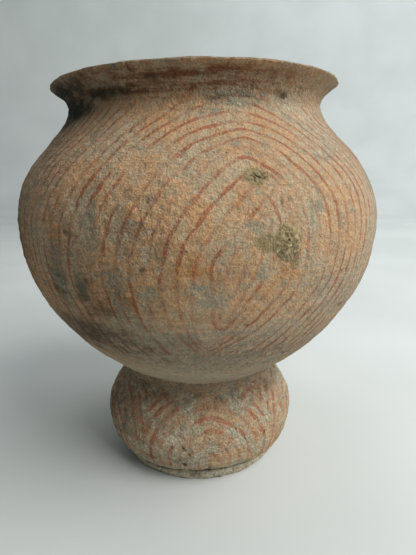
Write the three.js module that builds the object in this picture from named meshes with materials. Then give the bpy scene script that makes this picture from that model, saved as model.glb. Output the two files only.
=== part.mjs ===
// Painted pottery jar on a hollow foot, hand built in courses of clay that were luted together and fired.
// Millimetres, +Z up. The origin is the centre of the base ring, on the surface that the jar stands on.
// The painted front faces -Y, and +X is to the right of someone who looks at it.

import * as THREE from 'three';

// Foot
const baseRadius = 69;
const baseRingWidth = 9.5;
const baseEdgeRound = 1.5;
const bandHeight = 10.4;
const bandTopRadius = 73.5;
const grooveDepth = 1.2;
const grooveHalfWidth = 1;
const footAngleAtBand = 45;
const footBulgeRadius = 82.4;
const footBulgeRise = 27.1;
const waistRadius = 59;
const waistRise = 42.5;
const footAngleAtWaist = 124;
const footWall = 8;

// Bowl, neck and rim
const bowlSag = 15.5;
const bowlAngleAtWaist = 30;
const bellyRadius = 138.9;
const bellyRise = 123;
const neckRadius = 95.3;
const neckRise = 82;
const lipRadius = 107;
const lipRise = 14;
const lipAngle = 37;
const lipCrown = 1.5;
const bowlFloor = 9;
const bodyWall = 7.5;
const lipWall = 5.5;

// Joints between the courses: each seam is a bevel that climbs by the lap from the outside to the inside
const seamLap = 6;
const slipGap = 0.4;
const bowlBasePastWaist = 22;
const shoulderSeamBelowBelly = 18;
const collarBelowNeck = 22;
const lipCoilDepth = 11;
const lutingCoilReach = 8;

// How the fired jar has settled: the mouth sits a little off centre and dips on the left
const mouthShift = 2.3;
const mouthDip = 4.6;

// Lumps of burial soil stuck to the painted front: the angle runs from -Y towards +X
const largeCrust = { angle: 20.3, aboveBelly: 1, width: 16, height: 20, thickness: 3 };
const smallCrust = { angle: 13.9, aboveBelly: 36, width: 9, height: 7, thickness: 1.6 };

// How full each curve is, as a share of the rise that it spans
const footLowerFullness = 0.4;
const footFullnessBelowBulge = 0.155;
const footFullnessAboveBulge = 0.37;
const footTopFullness = 0.39;
const bowlFloorFullness = 0.36;
const bowlLowerFullness = 0.33;
const bellyFullnessBelow = 0.483;
const bellyFullnessAbove = 0.57;
const neckFullness = 0.243;
const lipFullness = 0.5;

// Facets
const segments = 48;
const stepAlongWall = 14;
const stepAlongFoot = 10;
const stepAlongRim = 5;
const crustSegments = 12;
const crustRings = 6;
const crownSteps = 4;

const footBulgeHeight = bandHeight + footBulgeRise;
const waistHeight = footBulgeHeight + waistRise;
const bellyHeight = waistHeight + bellyRise;
const neckHeight = bellyHeight + neckRise;
const lipHeight = neckHeight + lipRise;

const clayRoughness = 0.95;
const colours = {
  base: 0x8a7257,
  foot: 0x9c6d4f,
  coil: 0x8d6a50,
  bowl: 0x9a745a,
  wall: 0xa57a5a,
  shoulder: 0xa2765a,
  neck: 0x94684f,
  lip: 0x8f6750,
  soil: 0x6f604c,
};

function point(radius, height) {
  return new THREE.Vector2(radius, height);
}

function direction(degrees) {
  const angle = THREE.MathUtils.degToRad(degrees);
  return point(Math.cos(angle), Math.sin(angle));
}

function bend(start, startPull, endPull, end) {
  return new THREE.CubicBezierCurve(start, start.clone().add(startPull), end.clone().sub(endPull), end);
}

// The outer skins: the foot from the groove up to the waist, and the bowl from its underside out to the lip

const up = direction(90);
const waist = point(waistRadius, waistHeight);

function footSkin() {
  const foot = point(bandTopRadius, bandHeight);
  const bulge = point(footBulgeRadius, footBulgeHeight);
  const flare = direction(footAngleAtBand);
  const taper = direction(footAngleAtWaist);
  const path = new THREE.CurvePath();
  path.add(bend(
    foot,
    flare.clone().multiplyScalar(footBulgeRise * footLowerFullness),
    up.clone().multiplyScalar(footBulgeRise * footFullnessBelowBulge),
    bulge,
  ));
  path.add(bend(
    bulge,
    up.clone().multiplyScalar(waistRise * footFullnessAboveBulge),
    taper.clone().multiplyScalar(waistRise * footTopFullness),
    waist,
  ));
  return path;
}

function bowlSkin() {
  const pole = point(0, waistHeight - bowlSag);
  const belly = point(bellyRadius, bellyHeight);
  const neck = point(neckRadius, neckHeight);
  const lip = point(lipRadius, lipHeight);
  const slope = direction(bowlAngleAtWaist);
  const flare = direction(lipAngle);
  const path = new THREE.CurvePath();
  path.add(bend(
    pole,
    point(waistRadius * bowlFloorFullness, 0),
    slope.clone().multiplyScalar(waistRadius * bowlFloorFullness),
    waist,
  ));
  path.add(bend(
    waist,
    slope.clone().multiplyScalar(bellyRise * bowlLowerFullness),
    up.clone().multiplyScalar(bellyRise * bellyFullnessBelow),
    belly,
  ));
  path.add(bend(
    belly,
    up.clone().multiplyScalar(neckRise * bellyFullnessAbove),
    up.clone().multiplyScalar(neckRise * neckFullness),
    neck,
  ));
  path.add(bend(
    neck,
    up.clone().multiplyScalar(lipRise * lipFullness),
    flare.clone().multiplyScalar(lipRise * lipFullness),
    lip,
  ));
  return path;
}

const foot = footSkin();
const bowl = bowlSkin();
const footTop = foot.getLength();
const [waistStation, bellyStation, neckStation, lipStation] = bowl.getCurveLengths();

// A station is a distance along a skin. The normal points out of the clay.
function skinPoint(path, station) {
  return path.getPoint(station / path.getLength());
}

function skinNormal(path, station) {
  const tangent = path.getTangent(station / path.getLength());
  return point(tangent.y, -tangent.x);
}

function lifted(path, station, lift) {
  return skinPoint(path, station).addScaledVector(skinNormal(path, station), lift);
}

// The wall is thickest under the bowl and thins towards the lip
function bowlWall(station) {
  if (station < waistStation) {
    return bowlFloor;
  }
  if (station < bellyStation) {
    return THREE.MathUtils.mapLinear(station, waistStation, bellyStation, bowlFloor, bodyWall);
  }
  if (station < neckStation) {
    return bodyWall;
  }
  return THREE.MathUtils.mapLinear(station, neckStation, lipStation, bodyWall, lipWall);
}

// Above the neck the wall's thickness turns level, so that the lip ends in an even crown
function bowlInside(station) {
  if (station === 0) {
    return point(0, waistHeight - bowlSag + bowlFloor);
  }
  const turn = THREE.MathUtils.smoothstep(station, neckStation, lipStation);
  const outward = skinNormal(bowl, station).lerp(point(1, 0), turn).normalize();
  return skinPoint(bowl, station).addScaledVector(outward, -bowlWall(station));
}

function stations(from, to, step) {
  const count = Math.max(1, Math.ceil(Math.abs(to - from) / step));
  return Array.from({ length: count + 1 }, (_, index) => from + (to - from) * index / count);
}

// Solids

function settled(geometry) {
  const place = geometry.getAttribute('position');
  for (let index = 0; index < place.count; index += 1) {
    const x = place.getX(index);
    const z = place.getZ(index);
    const share = THREE.MathUtils.smoothstep(z, bellyHeight, lipHeight);
    place.setX(index, x - mouthShift * share);
    place.setZ(index, z + mouthDip * share * x / (2 * lipRadius));
  }
  return geometry;
}

// A ring of clay, turned from a closed outline that runs up its outer side first
function ring(outline) {
  const closed = outline[0].x === 0 ? outline : [...outline, outline[0].clone()];
  const geometry = new THREE.LatheGeometry(closed, segments);
  geometry.rotateX(Math.PI / 2);
  return settled(geometry);
}

function course(from, to, step) {
  const low = from + slipGap / 2;
  const high = to - slipGap / 2;
  const outer = stations(low, high, step).map((station) => skinPoint(bowl, station));
  const inner = stations(high + seamLap, low + seamLap, step).map(bowlInside);
  return ring([...outer, ...inner]);
}

function bowlBase() {
  const seam = waistStation + bowlBasePastWaist - slipGap / 2;
  const outer = stations(0, seam, stepAlongWall).map((station) => skinPoint(bowl, station));
  const inner = stations(seam + seamLap, 0, stepAlongWall).map(bowlInside);
  outer[0].x = 0;
  return ring([...outer, ...inner]);
}

function lipCoil() {
  const low = lipStation - lipCoilDepth + slipGap / 2;
  const outer = stations(low, lipStation, stepAlongRim).map((station) => skinPoint(bowl, station));
  const inner = stations(lipStation, low + seamLap, stepAlongRim).map(bowlInside);
  const crown = new THREE.EllipseCurve(
    lipRadius - lipWall / 2, lipHeight, lipWall / 2, lipCrown, 0, Math.PI,
  ).getPoints(crownSteps).slice(1, -1);
  return ring([...outer, ...crown, ...inner]);
}

function footBand() {
  const top = bandHeight - slipGap / 2;
  const innerBase = baseRadius - baseRingWidth;
  const innerTop = bandTopRadius - footWall;
  const slope = (bandTopRadius - baseRadius) / bandHeight;
  return ring([
    point(baseRadius - baseEdgeRound, 0),
    point(baseRadius + slope * baseEdgeRound, baseEdgeRound),
    point(bandTopRadius - slope * grooveHalfWidth, bandHeight - grooveHalfWidth),
    point(bandTopRadius - grooveDepth, top),
    point(innerTop, top),
    point(innerBase, baseEdgeRound),
    point(innerBase + baseEdgeRound, 0),
  ]);
}

// The foot's wall ends on the underside of the bowl, along a strip as wide as the wall is thick
function footWallRing() {
  const bottom = bandHeight + slipGap / 2;
  const outer = stations(grooveHalfWidth, footTop - slipGap, stepAlongFoot);
  const seat = stations(waistStation, waistStation - footWall, footWall / 2);
  const inner = stations(footTop - footWall, grooveHalfWidth, stepAlongFoot);
  return ring([
    point(bandTopRadius - grooveDepth, bottom),
    ...outer.map((station) => skinPoint(foot, station)),
    ...seat.map((station) => lifted(bowl, station, slipGap)),
    ...inner.map((station) => lifted(foot, station, -footWall)),
    point(bandTopRadius - footWall, bottom),
  ]);
}

// A fillet of clay pressed into the corner between two skins, clear of both by the slip
function fillet(corner, alongFirst, alongSecond) {
  const first = alongFirst.clone().normalize();
  const second = alongSecond.clone().normalize();
  const halfAngle = Math.acos(first.dot(second)) / 2;
  const bisector = first.clone().add(second).normalize();
  const root = corner.clone().addScaledVector(bisector, slipGap / Math.sin(halfAngle));
  return { root, bisector };
}

function outerLutingCoil() {
  const downFoot = skinPoint(foot, footTop - lutingCoilReach).sub(waist);
  const outBowl = skinPoint(bowl, waistStation + lutingCoilReach).sub(waist);
  const { root, bisector } = fillet(waist, downFoot, outBowl);
  const low = lifted(foot, footTop - lutingCoilReach, slipGap);
  const lowMiddle = lifted(foot, footTop - lutingCoilReach / 2, slipGap);
  const high = lifted(bowl, waistStation + lutingCoilReach, slipGap);
  const highMiddle = lifted(bowl, waistStation + lutingCoilReach / 2, slipGap);
  const face = low.clone().add(high).multiplyScalar(0.5).addScaledVector(bisector, -slipGap);
  return ring([low, face, high, highMiddle, root, lowMiddle]);
}

function innerLutingCoil() {
  const corner = lifted(bowl, waistStation - footWall, slipGap);
  const downStation = footTop - footWall - lutingCoilReach;
  const inStation = waistStation - footWall - lutingCoilReach;
  const low = lifted(foot, downStation, -footWall - slipGap);
  const high = lifted(bowl, inStation, slipGap);
  const { root, bisector } = fillet(corner, low.clone().sub(corner), high.clone().sub(corner));
  const face = low.clone().add(high).multiplyScalar(0.5).addScaledVector(bisector, -slipGap);
  return ring([low, root, high, face]);
}

// A lump of soil: the lower half of a ball is laid flat on the skin, and the upper half stands proud
function crust({ angle, aboveBelly, width, height, thickness }) {
  const geometry = new THREE.SphereGeometry(1, crustSegments, crustRings);
  const place = geometry.getAttribute('position');
  for (let index = 0; index < place.count; index += 1) {
    const across = -place.getX(index) * width / 2;
    const along = place.getZ(index) * height / 2;
    const lift = slipGap + Math.max(0, place.getY(index)) * thickness;
    const spot = lifted(bowl, bellyStation + aboveBelly + along, lift);
    const turn = THREE.MathUtils.degToRad(angle) + across / bellyRadius;
    place.setXYZ(index, spot.x * Math.sin(turn), -spot.x * Math.cos(turn), spot.y);
  }
  return settled(geometry);
}

const jar = new THREE.Group();

function place(name, geometry, colour) {
  const material = new THREE.MeshStandardMaterial({ color: colour, roughness: clayRoughness, metalness: 0 });
  const mesh = new THREE.Mesh(geometry, material);
  mesh.name = name;
  jar.add(mesh);
}

const baseSeam = waistStation + bowlBasePastWaist;
const shoulderSeam = bellyStation - shoulderSeamBelowBelly;
const collarSeam = neckStation - collarBelowNeck;
const lipSeam = lipStation - lipCoilDepth;

place('foot_band', footBand(), colours.base);
place('foot_wall', footWallRing(), colours.foot);
place('outer_luting_coil', outerLutingCoil(), colours.coil);
place('inner_luting_coil', innerLutingCoil(), colours.coil);
place('bowl_base', bowlBase(), colours.bowl);
place('lower_wall', course(baseSeam, shoulderSeam, stepAlongWall), colours.wall);
place('shoulder_wall', course(shoulderSeam, collarSeam, stepAlongWall), colours.shoulder);
place('neck_collar', course(collarSeam, lipSeam, stepAlongRim), colours.neck);
place('rim_lip', lipCoil(), colours.lip);
place('soil_crust_large', crust(largeCrust), colours.soil);
place('soil_crust_small', crust(smallCrust), colours.soil);

export default jar;
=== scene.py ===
"""Painted pottery jar: the fired clay, its painted loops and the burial soil on it, built around the frame.

Lengths are in millimetres until a mesh is made, which is in metres. A place on the jar is given by its turn, in
degrees from the painted front (-Y) towards +X, and by its rise, in millimetres along the skin: above the widest
line of the belly on the bowl, and above the groove on the foot.
"""

import math

import bpy
import numpy as np
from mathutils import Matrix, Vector


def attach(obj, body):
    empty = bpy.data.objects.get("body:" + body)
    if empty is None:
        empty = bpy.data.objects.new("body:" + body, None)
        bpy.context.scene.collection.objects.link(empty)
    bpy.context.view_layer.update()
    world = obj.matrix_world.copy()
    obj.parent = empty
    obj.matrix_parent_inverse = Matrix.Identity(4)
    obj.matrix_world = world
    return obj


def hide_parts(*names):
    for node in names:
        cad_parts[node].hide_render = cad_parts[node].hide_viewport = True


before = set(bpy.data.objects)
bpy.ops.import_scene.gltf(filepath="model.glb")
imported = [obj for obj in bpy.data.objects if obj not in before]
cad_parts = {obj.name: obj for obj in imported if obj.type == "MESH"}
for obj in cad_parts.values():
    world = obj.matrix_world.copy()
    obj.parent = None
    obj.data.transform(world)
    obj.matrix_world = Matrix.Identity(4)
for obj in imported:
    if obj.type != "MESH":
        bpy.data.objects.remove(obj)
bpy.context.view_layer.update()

MM = 0.001

# The photograph: its size and where the lens stood, from its outline
PHOTO_WIDTH_PX = 416
PHOTO_HEIGHT_PX = 555
FOCAL_LENGTH_PX = 417
AXIS_PX = 199.3
LENS_BACK = 351.8
LENS_HEIGHT = 242.9
LENS_PITCH = 14.8
SENSOR_WIDTH = 36

# The foot's profile, as the solids have it
BASE_RADIUS = 69
BASE_RING_WIDTH = 9.5
BASE_EDGE_ROUND = 1.5
BAND_HEIGHT = 10.4
BAND_TOP_RADIUS = 73.5
GROOVE_DEPTH = 1.2
GROOVE_HALF_WIDTH = 1
FOOT_ANGLE_AT_BAND = 45
FOOT_BULGE_RADIUS = 82.4
FOOT_BULGE_RISE = 27.1
WAIST_RADIUS = 59
WAIST_RISE = 42.5
FOOT_ANGLE_AT_WAIST = 124
FOOT_WALL = 8

# The bowl, neck and rim, as the solids have them
BOWL_SAG = 15.5
BOWL_ANGLE_AT_WAIST = 30
BELLY_RADIUS = 138.9
BELLY_RISE = 123
NECK_RADIUS = 95.3
NECK_RISE = 82
LIP_RADIUS = 107
LIP_RISE = 14
LIP_ANGLE = 37
LIP_CROWN = 1.5
BOWL_FLOOR = 9
BODY_WALL = 7.5
LIP_WALL = 5.5

# Joints between the courses, and how the fired jar has settled
SEAM_LAP = 6
BOWL_BASE_PAST_WAIST = 22
SHOULDER_SEAM_BELOW_BELLY = 18
COLLAR_BELOW_NECK = 22
LIP_COIL_DEPTH = 11
LUTING_COIL_REACH = 8
MOUTH_SHIFT = 2.3
MOUTH_DIP = 4.6

WAIST_HEIGHT = BAND_HEIGHT + FOOT_BULGE_RISE + WAIST_RISE
BELLY_HEIGHT = WAIST_HEIGHT + BELLY_RISE
NECK_HEIGHT = BELLY_HEIGHT + NECK_RISE
LIP_HEIGHT = NECK_HEIGHT + LIP_RISE

# Fineness of the meshes
COLUMNS = 576
OUTER_STEP = 1.5
INNER_STEP = 3.2
RIM_STEP = 0.9
CROWN_STEPS = 9
GROOVE_STEP = 0.45
FOOT_STEP = 1.4
FOOT_INNER_STEP = 2.6

TURNS = np.arange(COLUMNS) * 360 / COLUMNS


def wrapped(degrees):
    """The same turn, between -180 and 180."""
    return (degrees + 180) % 360 - 180


TURNS_FROM_FRONT = wrapped(TURNS)[None, :]


def direction(degrees):
    return np.array([math.cos(math.radians(degrees)), math.sin(math.radians(degrees))])


def unit(vectors):
    return vectors / np.maximum(np.linalg.norm(vectors, axis=-1), 1e-9)[..., None]


def smoothstep(value, low, high):
    share = np.clip((value - low) / (high - low), 0, 1)
    return share * share * (3 - 2 * share)


def between(value, start, full, fading, end):
    """1 between full and fading, and smoothly down to 0 at the start and the end."""
    return smoothstep(value, start, full) * (1 - smoothstep(value, fading, end))


# Smooth noise, the same on every run

EDGES = np.array([
    (1, 1, 0), (-1, 1, 0), (1, -1, 0), (-1, -1, 0),
    (1, 0, 1), (-1, 0, 1), (1, 0, -1), (-1, 0, -1),
    (0, 1, 1), (0, -1, 1), (0, 1, -1), (0, -1, -1),
], float)


def scrambled(cell, seed):
    """A repeatable whole number for each cell of a lattice."""
    x, y, z = (cell[..., axis].astype(np.int64) for axis in range(3))
    mixed = (x * 73856093) ^ (y * 19349663) ^ (z * 83492791) ^ (seed * 49979687)
    mixed = (mixed ^ (mixed >> 13)) * 1274126177
    return (mixed ^ (mixed >> 16)) & 0xFFFF


def noise(place, size, seed):
    """Smooth noise from about -1 to 1, in lumps of that size: one number, or one for each axis."""
    spot = place / np.array(size, float)
    cell = np.floor(spot)
    part = spot - cell
    fade = part ** 3 * (part * (part * 6 - 15) + 10)
    total = np.zeros(place.shape[:-1])
    for corner in np.ndindex(2, 2, 2):
        slope = EDGES[scrambled(cell + corner, seed) % len(EDGES)]
        pull = (slope * (part - corner)).sum(-1)
        total += pull * np.where(corner, fade, 1 - fade).prod(-1)
    return total


def fractal(place, size, octaves, seed):
    """Noise with finer, weaker noise added to it."""
    return sum(noise(place, np.array(size) / 2 ** octave, seed + octave) / 2 ** octave for octave in range(octaves))


def layered(place, layers, start=0):
    """Noise of several sizes added to the start: each layer has a strength, a size, octaves and a seed."""
    return sum((strength * fractal(place, size, octaves, seed) for strength, size, octaves, seed in layers), start)


# Skins: a profile in the plane of radius and height, where a station is a distance along it

def bend(start, start_pull, end_pull, end, count=200):
    share = np.linspace(0, 1, count)[:, None]
    start, end = np.array(start, float), np.array(end, float)
    first, second = start + start_pull, end - end_pull
    rest = 1 - share
    return rest ** 3 * start + 3 * rest ** 2 * share * first + 3 * rest * share ** 2 * second + share ** 3 * end


def lengths_along(profile):
    """How far each point of a profile lies from the first, along it."""
    return np.concatenate([[0], np.cumsum(np.hypot(*np.diff(profile, axis=0).T))])


def outward_normals(profile, along):
    tangent = np.gradient(profile, along, axis=0)
    return unit(np.column_stack([tangent[:, 1], -tangent[:, 0]]))


class Skin:
    def __init__(self, *bends):
        self.points = np.vstack([bends[0], *(points[1:] for points in bends[1:])])
        self.stations = lengths_along(self.points)
        self.joints = self.stations[np.cumsum([len(points) - 1 for points in bends])]
        self.normals = outward_normals(self.points, self.stations)

    def at(self, values, station):
        """The skin's points or normals, read off between its stations."""
        return np.stack([np.interp(station, self.stations, axis) for axis in values.T], -1)

    def point(self, station):
        return self.at(self.points, station)

    def normal(self, station):
        return unit(self.at(self.normals, station))

    def off(self, station, distance):
        """One point at that distance outside the skin, or inside it where the distance is negative."""
        return (self.point([station]) + self.normal([station]) * distance)[0]


UP = direction(90)
WAIST = (WAIST_RADIUS, WAIST_HEIGHT)
BULGE = (FOOT_BULGE_RADIUS, BAND_HEIGHT + FOOT_BULGE_RISE)
BELLY = (BELLY_RADIUS, BELLY_HEIGHT)
NECK = (NECK_RADIUS, NECK_HEIGHT)

foot_skin = Skin(
    bend((BAND_TOP_RADIUS, BAND_HEIGHT), direction(FOOT_ANGLE_AT_BAND) * FOOT_BULGE_RISE * 0.4,
         UP * FOOT_BULGE_RISE * 0.155, BULGE),
    bend(BULGE, UP * WAIST_RISE * 0.37, direction(FOOT_ANGLE_AT_WAIST) * WAIST_RISE * 0.39, WAIST),
)
FOOT_TOP = foot_skin.joints[-1]

bowl_skin = Skin(
    bend((0, WAIST_HEIGHT - BOWL_SAG), np.array([WAIST_RADIUS * 0.36, 0]),
         direction(BOWL_ANGLE_AT_WAIST) * WAIST_RADIUS * 0.36, WAIST),
    bend(WAIST, direction(BOWL_ANGLE_AT_WAIST) * BELLY_RISE * 0.33, UP * BELLY_RISE * 0.483, BELLY),
    bend(BELLY, UP * NECK_RISE * 0.57, UP * NECK_RISE * 0.243, NECK),
    bend(NECK, UP * LIP_RISE * 0.5, direction(LIP_ANGLE) * LIP_RISE * 0.5, (LIP_RADIUS, LIP_HEIGHT)),
)
WAIST_STATION, BELLY_STATION, NECK_STATION, LIP_STATION = bowl_skin.joints


def bowl_wall(station):
    """The wall is thickest under the bowl and thins towards the lip."""
    return np.interp(
        station,
        [WAIST_STATION, BELLY_STATION, NECK_STATION, LIP_STATION],
        [BOWL_FLOOR, BODY_WALL, BODY_WALL, LIP_WALL],
    )


def bowl_outward(station):
    """The way that the wall's thickness is measured, which turns level above the neck."""
    level = smoothstep(station, NECK_STATION, LIP_STATION)[:, None]
    return unit(bowl_skin.normal(station) * (1 - level) + np.array([1, 0]) * level)


def stations(start, end, step):
    return np.linspace(start, end, max(2, math.ceil(abs(end - start) / step) + 1))


def settle(place):
    """The mouth of the fired jar sits a little off centre and dips on the left."""
    share = smoothstep(place[..., 2], BELLY_HEIGHT, LIP_HEIGHT)
    moved = place.copy()
    moved[..., 2] += MOUTH_DIP * share * place[..., 0] / (2 * LIP_RADIUS)
    moved[..., 0] -= MOUTH_SHIFT * share
    return moved


def round_axis(radius, height, turn):
    """Places in space from a radius, a height and a turn."""
    angle = np.radians(turn)
    return np.stack([radius * np.sin(angle), -radius * np.cos(angle), height + 0 * angle], axis=-1)


def turned(profile, turns=TURNS):
    """A profile's rows as places in space, one column for each turn. Its normals are turned in the same way."""
    return round_axis(profile[:, :1], profile[:, 1:], turns)


def pushed(profile, outward, height):
    """A turned profile with each place moved along its normal."""
    return turned(profile) + turned(outward) * height[..., None]


# Marks on the skin: dents, slots and chips, each with its turn, rise, half width, half height, depth and tilt

BOWL_MARKS = [
    (-20.0, 69.7, 1.5, 1.2, 1.3, 20),
    (-11.4, 23.4, 1.3, 2.2, 1.0, 15),
    (19.2, 22.5, 1.1, 1.6, 0.9, 0),
    (21.0, 23.5, 1.0, 1.3, 0.9, 0),
    (17.4, 28.4, 0.9, 1.9, 0.7, -35),
    (15.3, 37.4, 3.4, 0.8, 2.4, -24),
    (9.5, 26.7, 1.1, 1.1, 0.5, 0),
    (34.4, 94.5, 3.4, 2.2, 1.0, 20),
    (-12.8, -13.0, 2.0, 2.4, 0.6, 0),
    (-33.0, 5.0, 1.5, 3.0, 0.7, 12),
    (48.0, -52.0, 4.5, 1.2, 0.9, -35),
]
FOOT_MARKS = [
    (38.0, 32.0, 0.9, 2.6, 2.2, -28),
    (-9.0, 30.0, 0.9, 2.6, 1.4, 38),
    (-6.0, 24.0, 1.0, 2.2, 1.2, 40),
    (-8.5, 13.0, 1.3, 2.4, 1.6, 35),
    (-33.0, 27.0, 1.0, 2.2, 1.6, 25),
    (5.0, 8.0, 1.2, 2.6, 1.2, 0),
    (52.0, 14.0, 2.6, 2.4, 1.2, 0),
]
RANDOM_BOWL_MARKS = 190
RANDOM_FOOT_MARKS = 90
MARK_SEED = 5


def scattered(count, seed, *ranges):
    """Rows of random numbers, the same on every run, with one number from each range."""
    rng = np.random.default_rng(seed)
    return [tuple(rng.uniform(*limits) for limits in ranges) for _ in range(count)]


def scattered_marks(count, low, high, seed):
    return scattered(count, seed, (-180, 180), (low, high), (0.8, 1.9), (0.8, 2.2), (0.25, 0.8), (-60, 60))


def leaned(across, along, tilt):
    """Distances across and along, for something that leans by the tilt."""
    lean = math.radians(tilt)
    return across * math.cos(lean) + along * math.sin(lean), along * math.cos(lean) - across * math.sin(lean)


def unrolled(turn, rise, radius, centre_turn, centre_rise, tilt=0):
    """Distances across and along the skin from a mark, turned by its tilt."""
    across = np.radians(wrapped(turn - centre_turn)) * radius
    return leaned(across, rise - centre_rise + 0 * across, tilt)


def marks_depth(marks, turn, rise, radius):
    depth = np.zeros(np.broadcast_shapes(turn.shape, rise.shape))
    for mark_turn, mark_rise, half_width, half_height, deep, tilt in marks:
        near = np.abs(rise[:, 0] - mark_rise) < 3 * max(half_width, half_height)
        if near.any():
            across, along = unrolled(turn, rise[near], radius[near], mark_turn, mark_rise, tilt)
            reach = np.hypot(across / half_width, along / half_height)
            depth[near] = np.maximum(depth[near], deep * (1 - smoothstep(reach, 0.35, 1.25)))
    return depth


SCRAPE_TURN = 14.3
SCRAPE_RISE = 93.6
SCRAPE_HALF_LENGTH = 20
SCRAPE_SAG = 0.006
SCRAPE_WAVER = 1.3
SCRAPE_DEPTH = 0.7
LIP_WAVER = 0.55
LIP_NOTCH_TURN = -20.5
LIP_NOTCH_DEPTH = 1.1

# Unevenness in layers of noise, each with a strength, a size, octaves and a seed: of the walls that were beaten
# by hand, of the insides that the potter's fingers ringed, and of the coils
BOWL_LUMPS = [(0.75, 64, 2, 11), (0.46, 19, 2, 21)]
FOOT_LUMPS = [(0.7, 52, 2, 12), (0.4, 15, 2, 22)]
FINGER_RINGS = [(0.45, (70, 70, 8.5), 1, 61), (0.3, 21, 2, 71), (0.12, 4.5, 1, 81)]
FOOT_FINGER_RINGS = [(0.45, (40, 40, 9), 1, 111), (0.3, 16, 2, 121)]
COIL_LUMPS = [(0.35, 17, 2, 131), (0.12, 4, 1, 132)]


def bowl_relief(place, turn, rise, radius):
    """How far the hand-made outer skin stands out from the true profile."""
    relief = layered(place, BOWL_LUMPS) + 0.17 * noise(place, (38, 38, 3.6), 31)
    rough = zone(ROUGH_PATCHES, turn, rise, radius)
    relief += (0.2 + 0.42 * rough) * fractal(place, 6.5, 3, 41)
    marks = BOWL_MARKS + scattered_marks(RANDOM_BOWL_MARKS, -150, 96, MARK_SEED)
    relief -= marks_depth(marks, turn, rise, radius)
    across, along = unrolled(turn, rise, radius, SCRAPE_TURN, SCRAPE_RISE)
    along = along + SCRAPE_SAG * across ** 2 + SCRAPE_WAVER * noise(place, 11, 32)
    crescent = 1 - smoothstep(np.abs(across) / SCRAPE_HALF_LENGTH, 0.5, 1.1)
    relief -= SCRAPE_DEPTH * crescent * between(along, -2.6, -0.2, 0, 1.8)
    lip = smoothstep(rise, 104, 112)
    relief += lip * LIP_WAVER * fractal(place, 11, 2, 51)
    notch = np.abs(np.radians(wrapped(turn - LIP_NOTCH_TURN))) * radius
    return relief - lip * LIP_NOTCH_DEPTH * (1 - smoothstep(notch, 0.4, 1.4))


def inner_relief(place, lumps_place):
    """The inside follows the lumps of the outside and is ringed by the potter's fingers."""
    return layered(place, FINGER_RINGS, -0.8 * layered(lumps_place, BOWL_LUMPS))


def foot_relief(place, turn, rise, radius):
    marks = FOOT_MARKS + scattered_marks(RANDOM_FOOT_MARKS, 4, 72, MARK_SEED + 1)
    return layered(place, [*FOOT_LUMPS, (0.6, 6, 3, 42)]) - marks_depth(marks, turn, rise, radius)


# The painted loops: one closed curve of the nest is a bearing and a distance from the core

CORE_ACROSS = 18
CORE_RISE = -10
FRONT_LOOPS = {
    0: [(5, 23), (21, 28), (38, 34), (51, 38.5), (61.6, 42), (65, 31), (74, 22), (99, 13.2), (131, 10.6), (151, 10.3),
        (195, 11.9), (222, 14.9), (243, 22.4), (258, 38.8), (264.7, 43.2), (269, 41), (279, 32.4), (293, 25),
        (317, 20.5), (351, 20.2)],
    1: [(9, 32), (21, 36.5), (29, 41), (40, 43.5), (51, 46.2), (58, 48.5), (64.4, 51), (71.6, 44.3), (83, 33.2),
        (105, 23.8), (133, 19), (164, 18.7), (200, 22), (222, 30), (238, 41.3), (245.5, 49.4), (251.6, 57),
        (257, 62.6), (262, 56.6), (268, 50), (274, 44), (282, 38), (301, 29.2), (329, 27), (349, 28)],
    3: [(0, 45), (12.5, 46.1), (28, 48.8), (40, 52.5), (52, 54.8), (62, 56.8), (71, 58.6), (76, 61), (80.5, 60.4),
        (90, 54), (102, 47), (116, 41), (139, 37), (167, 36.9), (187, 38.8), (207, 43.8), (223, 50.2), (232, 54.5),
        (242, 60), (251, 65.8), (258.5, 70.4), (266, 62.3), (276, 55.3), (287, 51.2), (294, 49.2), (306, 45.8),
        (318, 43.2), (336, 43.9)],
    8: [(0, 84), (25, 94), (48, 94), (62, 96), (80, 95), (105, 88), (121, 83), (146, 78), (175, 80), (185, 83.4),
        (197, 84.8), (210, 90), (223, 99), (234, 106), (247, 115), (258, 118), (266, 112), (278, 101), (290, 93),
        (300, 88), (320, 83), (342, 84)],
    16: [(0, 150), (30, 157), (80, 157), (110, 149), (150, 141), (190, 143), (209, 147), (222, 152), (235, 166),
         (250, 176), (262, 176), (272, 166), (285, 151), (300, 143), (330, 142)],
}
BEARING_BLUR = 1.6

# Inside the core the strokes run side by side: a rise, and where the core's left edge, middle and right edge lie
CORE_STRIP = [
    (-54, 13.3, 13.5, 13.7), (-48, 10.3, 13.3, 18.8), (-40, 9.3, 15.5, 24), (-30, 8, 19, 29.5), (-20, 7, 22.3, 35),
    (-13, 6.8, 24.5, 38), (-8, 8, 26, 41), (-2, 11.5, 27.5, 43), (5, 17.5, 31, 44.5), (12, 25, 35.5, 45),
    (20, 33.5, 37.5, 42), (27, 37.9, 38, 38.1),
]
CORE_STROKES = 2
CORE_TOP = (5, 27)
CORE_BOTTOM = (-40, -54)


def closed_curve(points):
    """Distances at every half degree of bearing, with the corners between the points rounded."""
    bearings, distances = np.array(points, float).T
    wide_bearings = np.concatenate([bearings - 360, bearings, bearings + 360])
    fine = np.arange(0, 360, 0.5)
    exact = np.interp(fine, wide_bearings, np.tile(distances, 3))
    away = np.minimum(fine, 360 - fine)
    weight = np.exp(-(away / BEARING_BLUR) ** 2 / 2)
    return np.fft.irfft(np.fft.rfft(exact) * np.fft.rfft(weight / weight.sum()), len(fine))


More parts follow.
